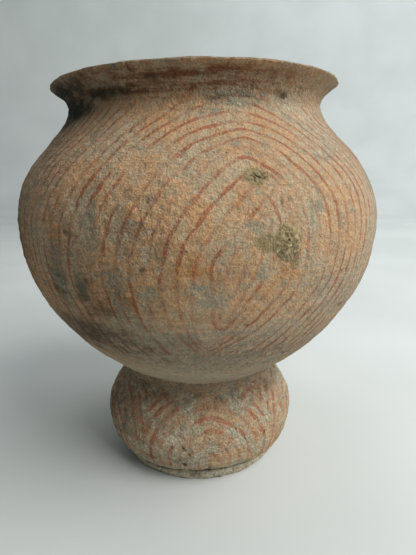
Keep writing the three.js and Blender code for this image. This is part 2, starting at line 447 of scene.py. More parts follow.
def core_share(across, along):
    """0 on the middle line of the core and 1 on its edge."""
    rise, left, middle, right = np.array(CORE_STRIP, float).T
    left, middle, right = (np.interp(along, rise, side) for side in (left, middle, right))
    share = np.where(across < middle, (middle - across) / (middle - left), (across - middle) / (right - middle))
    share = np.clip(share, 0, 1)
    top = np.clip((along - CORE_TOP[0]) / (CORE_TOP[1] - CORE_TOP[0]), 0, 1)
    bottom = np.clip((along - CORE_BOTTOM[0]) / (CORE_BOTTOM[1] - CORE_BOTTOM[0]), 0, 1)
    end = np.maximum(top, bottom)
    return (share ** 4 + end ** 4 * (1 - share ** 4)) ** 0.25


def nested(across, along, loops):
    """The number of each place in a nest of loops: whole numbers are the painted lines."""
    bearing = np.degrees(np.arctan2(along - CORE_RISE, across - CORE_ACROSS)) % 360
    distance = np.hypot(along - CORE_RISE, across - CORE_ACROSS)
    numbers = sorted(loops)
    fine = np.arange(0, 360.5, 0.5)
    radii = []
    for number in numbers:
        curve = closed_curve(loops[number])
        radii.append(np.interp(bearing, fine, np.append(curve, curve[0])))
    found = CORE_STROKES * (core_share(across, along) - 1)
    for low, high, inner, outer in zip(numbers, numbers[1:], radii, radii[1:]):
        share = (distance - inner) / (outer - inner)
        beyond = high == numbers[-1]
        inside = (share > 0) if beyond else (share > 0) & (share <= 1)
        found = np.where(inside, low + share * (high - low), found)
    return found


ACROSS_PER_DEGREE = math.radians(1) * BELLY_RADIUS
BACK_STRETCH = 1.05
BACK_LIFT = 6
BACK_LOOP_OFFSET = 0.45


def bowl_loops(turn, rise):
    front = nested(wrapped(turn) * ACROSS_PER_DEGREE, rise, FRONT_LOOPS)
    behind = (turn % 360) - 180
    back = nested(-behind * ACROSS_PER_DEGREE * BACK_STRETCH, rise * BACK_STRETCH - BACK_LIFT, FRONT_LOOPS)
    return np.minimum(front, back + BACK_LOOP_OFFSET)


ARCH_COUNT = 5
FIRST_ARCH_TURN = 5.7
ARCH_RISE = 16
ARCH_STRETCH = 1.125
ARCH_PITCH = 8
ARCH_DRIFT = 0.17
FOOT_STROKE_NARROWING = 0.7


def foot_loops(turn, rise):
    """Nests of arches that stand on the groove."""
    found = np.inf
    for arch in range(ARCH_COUNT):
        centre = FIRST_ARCH_TURN + arch * 360 / ARCH_COUNT
        across, along = unrolled(turn, rise, FOOT_BULGE_RADIUS, centre, ARCH_RISE)
        reach = np.hypot(across, np.maximum(along, 0) / ARCH_STRETCH)
        found = np.minimum(found, reach / ARCH_PITCH - 1 + ARCH_DRIFT * arch)
    return found


def pitch_of(loop, place):
    """Millimetres between one loop and the next, from how fast the loop's number changes on the skin."""
    column_step = np.linalg.norm(np.roll(place, -1, 1) - np.roll(place, 1, 1), axis=-1)
    by_column = (np.roll(loop, -1, 1) - np.roll(loop, 1, 1)) / np.maximum(column_step, 1e-6)
    row_step = np.linalg.norm(np.diff(place, axis=0), axis=-1)
    station = np.concatenate([[0], np.cumsum(row_step.mean(1))])
    by_row = np.gradient(loop, station, axis=0)
    return np.clip(1 / np.maximum(np.hypot(by_column, by_row), 1e-3), 2.5, 14)


# Zones of colour: turn, rise, half width, half height and strength of each patch

ASH_PATCHES = [
    (15.9, 89.2, 15, 4, 0.9), (4.5, 84, 8, 5, 0.7), (14.3, 94.5, 21, 1.6, 1.0), (-23, 43, 9, 8, 0.7),
    (-29.7, -9, 11, 8, 0.6), (-20, -22, 7, 9, 1.0), (29.7, 22.8, 4, 9, 0.9), (37, 9.4, 4, 9, 0.6),
    (27.1, 12, 1.4, 12, 1.0), (27.4, -9, 1.4, 10, 0.9), (13, 9.3, 7, 5, 0.9), (14.5, -16, 4, 6, 1.0),
    (3.2, -32, 9, 8, 1.0), (10.7, -22.4, 4, 4, 0.8), (-12, -27, 7, 5, 1.0), (-38, -24, 8, 26, 0.9),
    (49, -48, 10, 5, 0.8), (45, -54, 11, 5, 0.8), (36, 50, 9, 5, 0.8), (6, 71, 4, 3, 0.6), (11, 60, 3, 4, 0.7),
    (-34, 66, 12, 12, 0.6), (17, 31, 4, 6, 0.7), (8, -56, 24, 4, 0.9), (22, -58, 12, 6, 0.6), (20, -24, 3, 3, 0.8),
    (10, 2, 4, 2, 0.8), (45, 60, 7, 4, 0.8), (-5, 12, 3, 5, 0.5), (-52, 30, 8, 18, 0.5), (-14, 12, 9, 5, 0.5),
    (38, 72, 5, 4, 1.0), (33, 80, 4, 6, 0.9), (44, 60, 5, 6, 1.0), (40, 50, 5, 4, 0.9), (-30, -28, 5, 12, 1.0),
    (0, -82, 70, 8, 0.6), (25, -98, 60, 8, 0.55), (-4, -60, 16, 5, 0.9), (-20, -36, 6, 9, 1.0), (0, -24, 12, 5, 0.8),
    (-25, 10, 6, 16, 0.7), (33, -30, 8, 10, 0.7),
]
PALE_PATCHES = [
    (35.3, 78.6, 4, 3, 0.6), (36, 53, 7, 3.5, 0.6), (42, 60, 5, 4, 0.5), (-12, -5, 3, 8, 0.7), (-9, -13, 3, 5, 0.6),
    (1.5, 59, 6, 2.5, 0.5), (23, 49, 3, 3, 0.5), (52, 30, 9, 16, 0.4), (35, 88, 9, 5, 0.5), (48, 72, 46, 40, 0.4),
    (58, 5, 26, 60, 0.36), (-26, 14, 12, 20, 0.34),
]
OCHRE_PATCHES = [
    (-18.5, -33, 7, 10, 1.0), (0, -15, 11, 8, 0.8), (4, -17, 6, 5, 0.6), (-9, -48, 18, 12, 0.3),
    (20, -16, 8, 6, 0.5), (-38, 0, 6, 18, 0.5), (-28, -30, 5, 8, 0.6),
]
# Soot and painted shade: the broad patches on the left side and the bands under the rim on the left are painted
# shade, and the small patches low on the front are soot stains
SOOT_AND_SHADE_PATCHES = [
    (-84, -24, 66, 92, 0.7), (-39, -32, 12, 22, 0.6), (-25, -44, 18, 9, 0.62), (-31, -32, 9, 12, 0.6),
    (-16, -52, 14, 5, 0.5), (-70, -20, 34, 96, 0.66), (-36, -68, 56, 24, 0.75), (-72, 93, 60, 18, 1.0),
    (-68, 106, 56, 10, 0.95), (-52, 90, 26, 12, 1.0), (-60, 62, 28, 20, 0.5), (8, 102, 40, 4, 0.2),
    (-36, 98, 34, 6, 0.85), (-14, 104, 14, 3, 0.6), (-44, 112, 30, 4, 0.5), (26, 104, 9, 3, 0.5), (34, 95, 6, 5, 0.6),
]
FILM_PATCHES = [
    (78, 0, 62, 120, 0.95), (52, 62, 36, 34, 0.75), (30, 92, 36, 10, 0.4), (20, -84, 120, 34, 0.65),
    (-10, -66, 60, 14, 0.7), (-52, 60, 30, 30, 0.6), (44, -40, 36, 26, 0.75),
]
ROUGH_PATCHES = [
    (-26, -16, 46, 50, 1.0), (-50, 40, 40, 40, 0.9), (-4, 104, 160, 18, 0.9), (-14, 0, 30, 24, 0.9),
    (-60, -10, 40, 80, 0.9), (10, -84, 130, 26, 0.8),
]
SOIL_PATCHES = [
    (15.4, 1.0, 8, 5, 1.0), (22.4, -11.5, 3.4, 4.4, 0.9), (13.6, 37.2, 7.2, 5.2, 1.0), (14.5, 33.2, 2.6, 2.6, 0.8),
    (20.3, 1.1, 9.3, 10.8, 0.9),
]


def scattered_patches(count, low, high, half_sizes, seed):
    """Patches for the sides and the back, which the photograph doesn't show."""
    rows = scattered(count, seed, (58, 302), (low, high), half_sizes, half_sizes, (0.5, 1.0))
    return [(turn, rise, half_width, size * 0.8, strength) for turn, rise, half_width, size, strength in rows]


def zone(patches, turn, rise, radius):
    found = np.zeros(np.broadcast_shapes(turn.shape, rise.shape))
    for patch_turn, patch_rise, half_width, half_height, strength in patches:
        across, along = unrolled(turn, rise, radius, patch_turn, patch_rise)
        reach = (across / half_width) ** 2 + (along / half_height) ** 2
        found = np.maximum(found, strength * np.exp(-0.8 * reach))
    return found


def patched(where, patches, *scatter):
    """The zone of some patches, and of scattered ones if their count, limits, sizes and seed are given."""
    return zone(patches + (scattered_patches(*scatter) if scatter else []), *where)


def bowl_zones(place, *where):
    turn, rise, _ = where
    right_side = np.exp(-(wrapped(turn - 56) / 32) ** 2)
    ash_bloom = 0.42 * smoothstep(fractal(place, 16, 3, 144), -0.1, 0.5)
    stray_soot = 0.6 * patched(where, [], 6, -110, 30, (12, 34), 4)
    film = patched(where, FILM_PATCHES, 9, -60, 90, (18, 40), 5)
    return {
        "ash": np.maximum(patched(where, ASH_PATCHES, 46, -90, 92, (4, 13), 1), ash_bloom),
        "pale": patched(where, PALE_PATCHES, 18, -60, 90, (3, 9), 2),
        "ochre": patched(where, OCHRE_PATCHES, 12, -60, 60, (10, 30), 3),
        "soot_and_shade": np.maximum(patched(where, SOOT_AND_SHADE_PATCHES), stray_soot),
        "soil": patched(where, SOIL_PATCHES),
        "paint": between(rise, -100, -72, 84, 97),
        "wash": smoothstep(rise, 88, 99) * (1 - 0.5 * smoothstep(rise, 108, 114)) * (1 - 0.75 * right_side),
        "bare": np.maximum(0.7 * (1 - smoothstep(rise, -124, -80)), film),
        "rough": np.maximum(0.25, patched(where, ROUGH_PATCHES, 6, -60, 80, (20, 50), 6)),
    }


FOOT_ASH = [
    (-15, 21, 9, 8, 1.0), (-6, 30, 8, 5, 0.8), (-12, 8, 9, 5, 0.9), (-24, 46, 12, 7, 0.8), (12, 52, 14, 5, 0.6),
    (30, 60, 12, 5, 0.6), (-45, 34, 8, 16, 0.9), (31, 20, 3, 7, 1.0), (46, 42, 4, 10, 0.6), (2, 14, 6, 6, 0.8),
    (-34, 12, 10, 6, 0.7), (38, 44, 5, 6, 0.6),
]
FOOT_PALE = [(-15, 36, 8, 5, 0.8), (-14, 15, 7, 4, 0.6), (34, 16, 4, 5, 0.7), (-35, 33, 6, 4, 0.6)]
FOOT_OCHRE = [(30, 30, 60, 24, 0.5)]
# Soot and painted shade on the foot: the patches on the left side and the band under the bowl are painted shade, and
# the small one is a soot stain
FOOT_SOOT_AND_SHADE = [(-66, 40, 40, 40, 0.6), (-12, 16, 7, 5, 0.5), (-10, 71, 90, 7, 0.45), (-50, 62, 26, 14, 0.5)]
FOOT_WASH = [
    (27, 53, 6, 4, 0.9), (-27, 15, 9, 5, 1.4), (-22, 17, 6, 3, 0.9), (-35, 50, 34, 16, 0.45), (8, 68, 80, 8, 0.55),
    (-6, 56, 60, 10, 0.3), (-30, 32, 16, 12, 0.35),
]


def foot_zones(place, *where):
    rise = where[1]
    band = 1 - smoothstep(rise, -1.5, 1)
    # Painted shade under the overhanging bowl: the top of the foot is darker and browner
    shade_under_bowl = smoothstep(rise, 46, 66)
    worn = smoothstep(fractal(place, 15, 3, 142), -0.45, 0.15)
    rust = smoothstep(fractal(place, 8, 3, 141), 0.1, 0.5)
    clumped = smoothstep(fractal(place, 11, 4, 143), -0.1, 0.3)
    brown = np.maximum(0.5 * rust * (1 - band), 0.6 * shade_under_bowl)
    ash = patched(where, FOOT_ASH, 22, 0, 72, (4, 11), 6)
    pale = patched(where, FOOT_PALE, 10, 0, 72, (3, 8), 7)
    return {
        "ash": (1 - band) * np.maximum(0.25 + 0.5 * clumped, ash),
        "pale": np.maximum(0.12 + 0.34 * clumped, pale) + 0.34 * band,
        "ochre": np.maximum(0.6 * rust * band, patched(where, FOOT_OCHRE, 5, 0, 72, (10, 22), 8)),
        "soot_and_shade": np.maximum(0.5 * shade_under_bowl, patched(where, FOOT_SOOT_AND_SHADE)),
        "paint": smoothstep(rise, 1.5, 4) * (0.7 + 0.4 * worn),
        "wash": np.maximum(patched(where, FOOT_WASH), brown),
        "bare": 0.42 + 0.38 * band,
        "rough": 0.55,
    }


FIELDS = (
    "loop", "pitch", "paint", "wash", "ochre", "ash", "soot_and_shade", "pale", "soil", "bare", "rough", "inside", "hollow",
)
PLAIN_PITCH = 8


# Walls: a grid of places round the jar, from which the pieces are cut in rows

class Wall:
    """Rows of clay surface in order, with the fields that the finish reads."""

    def __init__(self, place, fields, pole_rows=()):
        self.place = place
        given = {"pitch": PLAIN_PITCH, **fields}
        self.fields = {name: given.get(name, 0) + np.zeros(place.shape[:-1]) for name in FIELDS}
        normal = np.cross(np.roll(place, -1, 1) - np.roll(place, 1, 1), np.gradient(place, axis=0))
        for row in pole_rows:
            normal[row] = normal[row + 1 if row == 0 else row - 1].mean(0)
        self.normal = unit(normal)

    def rows(self, start, end):
        return {
            "place": self.place[start:end + 1],
            "normal": self.normal[start:end + 1],
            "fields": {name: values[start:end + 1] for name, values in self.fields.items()},
        }


MAP_MARGIN = 0.004


def in_map(share):
    """A share of the map's side, kept off its edges."""
    return MAP_MARGIN + (1 - 2 * MAP_MARGIN) * share


def fill(collection, name, values, kind=np.float32):
    collection.foreach_set(name, np.asarray(values).astype(kind).ravel())


def write_mesh(name, place, fields, corners, normals, maps):
    """A mesh in metres from the corners of its faces, with their normals, their map and the fields."""
    mesh = bpy.data.meshes.new(name)
    sizes = np.concatenate([np.full(len(group), group.shape[1]) for group in corners])
    used, compact = np.unique(np.concatenate([group.ravel() for group in corners]), return_inverse=True)
    mesh.vertices.add(len(used))
    fill(mesh.vertices, "co", place.reshape(-1, 3)[used] * MM)
    mesh.loops.add(len(compact))
    fill(mesh.loops, "vertex_index", compact, np.int32)
    mesh.polygons.add(len(sizes))
    fill(mesh.polygons, "loop_start", np.cumsum(sizes) - sizes, np.int32)
    fill(mesh.polygons, "use_smooth", np.ones(len(sizes)), bool)
    mesh.update(calc_edges=True)
    fill(mesh.uv_layers.new(name="OFBake").data, "uv", np.concatenate(maps))
    for field in FIELDS:
        fill(mesh.attributes.new(field, "FLOAT", "POINT").data, "value", fields[field].ravel()[used])
    mesh.validate()
    mesh.normals_split_custom_set(np.concatenate(normals).astype(np.float32))
    return mesh


def build_mesh(name, strips, pole_start=False, pole_end=False):
    """Joins strips of rows into one closed ring of clay. Between two strips lies a flat seam."""
    place = np.concatenate([strip["place"] for strip in strips])
    normal = np.concatenate([strip["normal"] for strip in strips])
    fields = {field: np.concatenate([strip["fields"][field] for strip in strips]) for field in FIELDS}
    seams = np.cumsum([len(strip["place"]) for strip in strips]) - 1
    row_count, columns = place.shape[:2]
    closed = not (pole_start or pole_end)
    index = np.arange(row_count * columns).reshape(row_count, columns)
    if pole_start:
        index[0] = index[0, 0]
    if pole_end:
        index[-1] = index[-1, 0]
    ring = np.append(place, place[:1], 0) if closed else place
    height = np.concatenate([[0], np.cumsum(np.linalg.norm(np.diff(ring, axis=0), axis=-1).mean(1))])
    height = in_map(height / height[-1])
    column = np.arange(columns)
    beside = (column + 1) % columns
    across = in_map(np.stack([column, column + 1, column + 1, column], 1) / columns)
    corners, normals, maps = [], [], []
    for row in range(len(ring) - 1):
        above = (row + 1) % row_count
        around = ((row, column), (row, beside), (above, beside), (above, column))
        smooth = np.stack([normal[corner] for corner in around], 1)
        if row in seams:
            start = place[row, column]
            smooth[:] = unit(np.cross(place[row, beside] - start, place[above, column] - start))[:, None]
        levels = 0 * across + height[[row, row, row + 1, row + 1]]
        keep = np.array([True, not (pole_start and row == 0), not (pole_end and row == row_count - 2), True])
        corners.append(np.stack([index[corner] for corner in around], 1)[:, keep])
        normals.append(smooth[:, keep].reshape(-1, 3))
        maps.append(np.stack([across, levels], -1)[:, keep].reshape(-1, 2))
    return write_mesh(name, place, fields, corners, normals, maps)


def add_object(name, data):
    made = bpy.data.objects.new(name, data)
    bpy.context.scene.collection.objects.link(made)
    return made


def add_piece(name, mesh, node, slot):
    piece = add_object(name, mesh)
    mesh.materials.append(materials[slot])
    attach(piece, "root")
    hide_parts(node)


def add_clay(node, slot, strips, **poles):
    add_piece(node + "_clay", build_mesh(node, strips, **poles), node, slot)


def joined_stations(points, step):
    """Stations from the first point to the last, with a row on every point, and the rows of the points."""
    found, rows = [np.array([points[0]])], [0]
    for start, end in zip(points, points[1:]):
        part = stations(start, end, step(end))[1:]
        found.append(part)
        rows.append(rows[-1] + len(part))
    return np.concatenate(found), rows


# The bowl's wall: up the outer skin, over the crown of the lip, and down the inner skin

SEAMS = [
    WAIST_STATION + BOWL_BASE_PAST_WAIST,
    BELLY_STATION - SHOULDER_SEAM_BELOW_BELLY,
    NECK_STATION - COLLAR_BELOW_NECK,
    LIP_STATION - LIP_COIL_DEPTH,
]


def bowl_outside():
    """The outer skin's places, relief and fields, and the rows of its seams."""
    station, rows = joined_stations([0, WAIST_STATION, *SEAMS, LIP_STATION],
                                    lambda end: RIM_STEP if end > NECK_STATION else OUTER_STEP)
    profile = bowl_skin.point(station)
    place = turned(profile)
    rise = (station - BELLY_STATION)[:, None]
    where = (TURNS_FROM_FRONT, rise, np.maximum(profile[:, :1], 1))
    relief = bowl_relief(place, *where)
    fields = bowl_zones(place, *where)
    fields["loop"] = bowl_loops(TURNS_FROM_FRONT, rise)
    fields["pitch"] = pitch_of(fields["loop"], place)
    # hollow is painted shade: darker where the skin sinks below its lumps, in dents, slots, the scrape and the lip's
    # notch
    fields["hollow"] = np.clip((layered(place, BOWL_LUMPS) - relief - 0.22) / 0.7, 0, 1)
    return pushed(profile, bowl_outward(station), relief), relief, fields, rows[2:-1]


def bowl_inside(lip_relief):
    """The inner skin's places from the lip down, its stations, and the rows of its seams from below."""
    station, rows = joined_stations([LIP_STATION, *(seam + SEAM_LAP for seam in SEAMS[::-1]), 0],
                                    lambda end: RIM_STEP * 1.5 if end > NECK_STATION else INNER_STEP)
    outward = bowl_outward(station)
    outer_profile = bowl_skin.point(station)
    profile = outer_profile - outward * bowl_wall(station)[:, None]
    profile[:, 0] = np.maximum(profile[:, 0], 0)
    profile[station == 0] = (0, WAIST_HEIGHT - BOWL_SAG + BOWL_FLOOR)
    lip_share = smoothstep(station, NECK_STATION, LIP_STATION)[:, None]
    follow = inner_relief(turned(profile), turned(outer_profile))
    follow = follow * (1 - lip_share) - lip_relief * 0.6 * lip_share
    return pushed(profile, outward, -follow), station, rows[-2:0:-1]


def lip_crown(start, end):
    """Rows over the lip, from its outer edge to its inner one."""
    middle, half = (start + end) / 2, (start - end) / 2
    lift = LIP_CROWN * (1 + 0.3 * noise(start, 16, 91))[:, None] * np.array([0, 0, 1])
    angles = np.linspace(0, math.pi, CROWN_STEPS + 2)[1:-1]
    return np.stack([middle + half * math.cos(angle) + lift * math.sin(angle) for angle in angles])


def carry_over_lip(fields, outer_count, crown_count, below):
    """Carries the fields of the outer skin on over the lip, where its stains fade away below it inside."""
    crown, inside = slice(outer_count, outer_count + crown_count), slice(outer_count + crown_count, None)
    carried = {"inside": np.zeros((outer_count + crown_count + len(below), COLUMNS))}
    for name, values in fields.items():
        values = values + np.zeros((outer_count, COLUMNS))
        carried[name] = np.concatenate([values, np.repeat(values[-1:], crown_count + len(below), 0)])
    for name in ("ash", "pale", "ochre", "soot_and_shade", "soil", "hollow"):
        carried[name][inside] *= 1 - smoothstep(below, 0, 26)
    carried["paint"][outer_count:] = 0
    carried["bare"][outer_count:] = 0.5
    carried["wash"][crown] = 0.3
    carried["soot_and_shade"][crown] += 0.25
    carried["wash"][inside] = 0.6 * between(below, 2, 5, 18, 30)
    carried["inside"][inside] = smoothstep(below, 12, 40)
    return carried


def cut_bowl():
    outer_place, relief, fields, outer_rows = bowl_outside()
    inner_place, station, inner_rows = bowl_inside(relief[-1])
    crown_place = lip_crown(outer_place[-1], inner_place[0])
    place = settle(np.concatenate([outer_place, crown_place, inner_place]))
    top = len(place) - 1
    fields = carry_over_lip(fields, len(outer_place), len(crown_place), (LIP_STATION - station)[:, None])
    wall = Wall(place, fields, pole_rows=(0, top))
    inner_rows = [len(outer_place) + len(crown_place) + row for row in inner_rows]
    base = [wall.rows(0, outer_rows[0]), wall.rows(inner_rows[0], top)]
    add_clay("bowl_base", "bare_clay", base, pole_start=True, pole_end=True)
    for number, node in enumerate(("lower_wall", "shoulder_wall", "neck_collar")):
        outer = wall.rows(outer_rows[number], outer_rows[number + 1])
        inner = wall.rows(inner_rows[number + 1], inner_rows[number])
        add_clay(node, "painted_clay", [outer, inner])
    add_clay("rim_lip", "painted_clay", [wall.rows(outer_rows[-1], inner_rows[-1])])


# The foot's wall: over the base ring, up the band, the groove and the bulge, and down the inside

BASE_INNER_RADIUS = BASE_RADIUS - BASE_RING_WIDTH
GROOVE_SWELL_TURN = 9
GROOVE_SWELL_SPREAD = 19
GROOVE_SWELL_REACH = 6
GROOVE_SWELL = 3.4
BAND_RECESS = 0.9
GROOVE_REACH = 3.6
GROOVE_WEAR = 1.2
GROOVE_DROP = 3.4
CHIP_DEPTH = 1.1
PARTING = 0.3


def foot_profile():
    """The outer profile from the ring up, the rows of its flat underside, and the row of the groove."""
    round_off = np.radians(np.linspace(-90, 0, 5))[:, None]
    edge_centre = np.array([BASE_RADIUS - BASE_EDGE_ROUND, BASE_EDGE_ROUND])
    edge = edge_centre + BASE_EDGE_ROUND * np.column_stack([np.cos(round_off), np.sin(round_off)])
    flat = np.column_stack([np.linspace(BASE_INNER_RADIUS + BASE_EDGE_ROUND, edge[0, 0], 5)[:-1], np.zeros(4)])
    share = np.concatenate([np.linspace(0, 0.7, 7)[1:], np.linspace(0.7, 1, 8)[1:]])[:, None]
    band = edge[-1] * (1 - share) + np.array([BAND_TOP_RADIUS, BAND_HEIGHT]) * share
    station, _ = joined_stations([0, GROOVE_REACH, FOOT_TOP],
                                 lambda end: GROOVE_STEP if end == GROOVE_REACH else FOOT_STEP)
    profile = np.concatenate([flat, edge, band, foot_skin.point(station)[1:]])
    return profile, len(flat) + 1, len(flat) + len(edge) + len(band) - 1


def foot_outside():
    """The outer skin's places and fields, and the row of the groove."""
    profile, flat_rows, groove_row = foot_profile()
    place = turned(profile)
    along = lengths_along(profile)
    rise = (along - along[groove_row])[:, None]
    where = (TURNS_FROM_FRONT, rise, profile[:, :1])
    outward = outward_normals(profile, along)
    outward[:flat_rows] = (0, -1)
    relief = foot_relief(place, *where)
    pits = layered(place, FOOT_LUMPS) - relief
    uneven = 1 + 0.5 * fractal(place, 22, 2, 101)
    groove_edge = (1.6 + 0.5 * uneven) * GROOVE_HALF_WIDTH
    groove = 1 - smoothstep(np.abs(rise + GROOVE_DROP), 0.7 * GROOVE_HALF_WIDTH, groove_edge)
    recess = between(rise, -7.5, -5.5, -1.2, 0.6)
    relief = relief - BAND_RECESS * recess * uneven - GROOVE_DEPTH * GROOVE_WEAR * groove * (0.5 + 0.6 * uneven)
    relief -= CHIP_DEPTH * smoothstep(fractal(place, 9, 2, 102), 0.25, 0.6) * (1 - smoothstep(rise, -6, -2))
    outer_place = pushed(profile, outward, np.where(profile[:, 1:] < 0.01, 0, relief))
    swell = np.exp(-(wrapped(TURNS_FROM_FRONT - GROOVE_SWELL_TURN) / GROOVE_SWELL_SPREAD) ** 2 / 2)
    outer_place[..., 2] += GROOVE_SWELL * swell * np.exp(-(rise / GROOVE_SWELL_REACH) ** 2)
    outer_place[..., 2] = np.maximum(outer_place[..., 2], 0)
    fields = foot_zones(place, *where)
    fields["loop"] = foot_loops(TURNS_FROM_FRONT, rise)
    fields["pitch"] = FOOT_STROKE_NARROWING * pitch_of(fields["loop"], place)
    blots = smoothstep(fractal(place, 6, 3, 103), 0.22, 0.5) * (1 - smoothstep(rise, -2, 0))
    # hollow is painted shade in the groove and in the dents, with random dark blots on the band
    fields["hollow"] = np.maximum(np.clip((pits - 0.35) / 0.9, 0, 1), np.maximum(1.3 * groove, 0.6 * blots))
    return outer_place, fields, groove_row


def foot_inside():
    """The places from the seat under the bowl down to the ring, and the first row of the band."""
    seat_station = stations(WAIST_STATION, WAIST_STATION - FOOT_WALL, 2)
    seat = bowl_skin.point(seat_station) + bowl_skin.normal(seat_station) * PARTING
    station = stations(FOOT_TOP - FOOT_WALL, 1, FOOT_INNER_STEP)
    hollow = foot_skin.point(station) - foot_skin.normal(station) * FOOT_WALL
    band = np.array([[BAND_TOP_RADIUS - FOOT_WALL, BAND_HEIGHT], [BASE_INNER_RADIUS + 1.6, 3.5],
                     [BASE_INNER_RADIUS, BASE_EDGE_ROUND], [BASE_INNER_RADIUS + 0.45, 0.45]])
    profile = np.concatenate([seat, hollow, band])
    row = np.arange(len(profile))[:, None]
    smooth = (row < len(seat)) | (row >= len(profile) - 3)
    relief = np.where(smooth, 0, layered(turned(profile), FOOT_FINGER_RINGS))
    return pushed(profile, outward_normals(profile, lengths_along(profile)), relief), len(seat) + len(hollow)


def cut_foot():
    outer_place, fields, groove_row = foot_outside()
    inner_place, band_row = foot_inside()
    outer_blank, inner_blank = np.zeros(outer_place.shape[:2]), np.zeros(inner_place.shape[:2])
    inner_values = {"pitch": PLAIN_PITCH, "inside": 1}
    fields = {name: np.concatenate([outer_blank + values, inner_blank + inner_values.get(name, 0)])
              for name, values in {"inside": 0, **fields}.items()}
    wall = Wall(np.concatenate([outer_place, inner_place]), fields)
    band_row += len(outer_place)
    add_clay("foot_band", "foot_clay", [wall.rows(0, groove_row), wall.rows(band_row, len(wall.place) - 1)])
    add_clay("foot_wall", "foot_clay", [wall.rows(groove_row, band_row)])


# The luting coils, pressed into the corners between the foot and the bowl

# The coils lie in the corner under the bowl, and the dark share of their colour is painted shade there
COIL_FIELDS = {"bare": 0.3, "wash": 0.5, "soot_and_shade": 0.28, "ash": 0.5, "pale": 0.12, "rough": 0.6}
COIL_SUNK = 0.7


def add_coil(node, low, corner, high, bulge, inside):
    """A fillet between two skins: its face runs from low to high, and its back lies in the corner."""
    share = np.linspace(0, 1, 9)[:, None]
    middle = (low + high) / 2 + bulge
    face = (1 - share) ** 2 * low + 2 * share * (1 - share) * middle + share ** 2 * high
    profile = np.append(face, [corner], 0)
    weight = np.append(np.sin(np.pi * share), [[0]], 0)
    outward = np.tile(unit(np.array([high[1] - low[1], low[0] - high[0]])), (len(profile), 1))
    place = pushed(profile, outward, layered(turned(profile), COIL_LUMPS) * weight)
    wall = Wall(place, {**COIL_FIELDS, "inside": inside})
    add_clay(node, "bare_clay", [wall.rows(0, len(face) - 1), wall.rows(len(face), len(face))])


def add_coils():
    waist = np.array(WAIST)
    low = foot_skin.off(FOOT_TOP - LUTING_COIL_REACH - 1, -COIL_SUNK)
    high = bowl_skin.off(WAIST_STATION + LUTING_COIL_REACH + 1, -COIL_SUNK)
    add_coil("outer_luting_coil", low, waist - [0.5, 0], high, (waist - (low + high) / 2) * 0.62, 0)
    corner = bowl_skin.off(WAIST_STATION - FOOT_WALL, 0.4)
    low = bowl_skin.off(WAIST_STATION - FOOT_WALL - LUTING_COIL_REACH, 0.1)
    high = foot_skin.off(FOOT_TOP - FOOT_WALL - LUTING_COIL_REACH, -(FOOT_WALL + 0.1))
    add_coil("inner_luting_coil", low, corner, high, (corner - (low + high) / 2) * 0.3, 1)


# Burial soil: gritty lumps laid on the skin. A slit has its place, its half length and half width, and its tilt

CRUSTS = {
    "soil_crust_large": {"turn": 20.4, "rise": 0.6, "half_width": 8.8, "half_height": 10.4, "thickness": 2.2,
                         "grains": 110, "seed": 31, "slit": (-0.8, 1.6, 1.1, 0.6, 30)},
    "soil_crust_small": {"turn": 13.3, "rise": 37, "half_width": 5.2, "half_height": 3.8, "thickness": 0.9,
                         "grains": 30, "seed": 37, "slit": (2.4, -0.3, 2.6, 0.62, -24)},
}
CRUST_RINGS = 46
CRUST_SPOKES = 150
CRUST_SUNK = 0.6
CRUST_EDGE_SUNK = 0.35


def crust_lift(shape):
    """How far across and along each place of a crust lies, how thick it is there, and where its slit is."""
    seed, half_width, half_height = shape["seed"], shape["half_width"], shape["half_height"]
    rng = np.random.default_rng(seed)
    spoke = np.arange(CRUST_SPOKES) * 2 * math.pi / CRUST_SPOKES
    share = np.linspace(0, 1, CRUST_RINGS)[:, None]
    rim_place = np.stack([np.cos(spoke) * 9, np.sin(spoke) * 9, 0 * spoke + seed], -1)
    rim = layered(rim_place, [(0.16, 8, 4, seed), (0.05, 2.4, 2, seed + 3)], 1)
    across = share * np.cos(spoke) * half_width * rim
    along = share * np.sin(spoke) * half_height * rim
    flat = np.stack([across, along, 0 * across + seed], -1)
    edge = 1 - share ** 2.6
    cracks = 1 - np.abs(fractal(flat, 5, 2, seed + 2))
    lift = shape["thickness"] * edge * (0.7 + 0.5 * fractal(flat, 5, 4, seed + 1) - 0.12 * cracks ** 6)

    def away_from_random_spot(limit):
        reach = math.sqrt(rng.uniform(0, limit))
        bearing = rng.uniform(0, 2 * math.pi)
        return np.hypot(across - reach * math.cos(bearing) * half_width,
                        along - reach * math.sin(bearing) * half_height)

    for _ in range(shape["grains"]):
        away = away_from_random_spot(0.9)
        size = rng.uniform(0.35, 1.0)
        lift += 0.4 * size * np.sqrt(np.clip(1 - (away / size) ** 2, 0, 1)) * np.minimum(1, edge * 2)
    for _ in range(shape["grains"] // 12):
        away = away_from_random_spot(0.8)
        lift -= 0.8 * np.exp(-(away / rng.uniform(0.5, 1.1)) ** 2) * edge
    slit_across, slit_along, slit_length, slit_width, tilt = shape["slit"]
    lengthwise, crosswise = leaned(across - slit_across, along - slit_along, tilt)
    slit = 1 - smoothstep(np.hypot(lengthwise / slit_length, crosswise / slit_width), 0.5, 1.1)
    lift = np.clip(lift, 0.05, shape["thickness"] * 1.25) * (1 - 0.9 * slit)
    lift[-1] = -CRUST_EDGE_SUNK
    return across, along, lift, slit


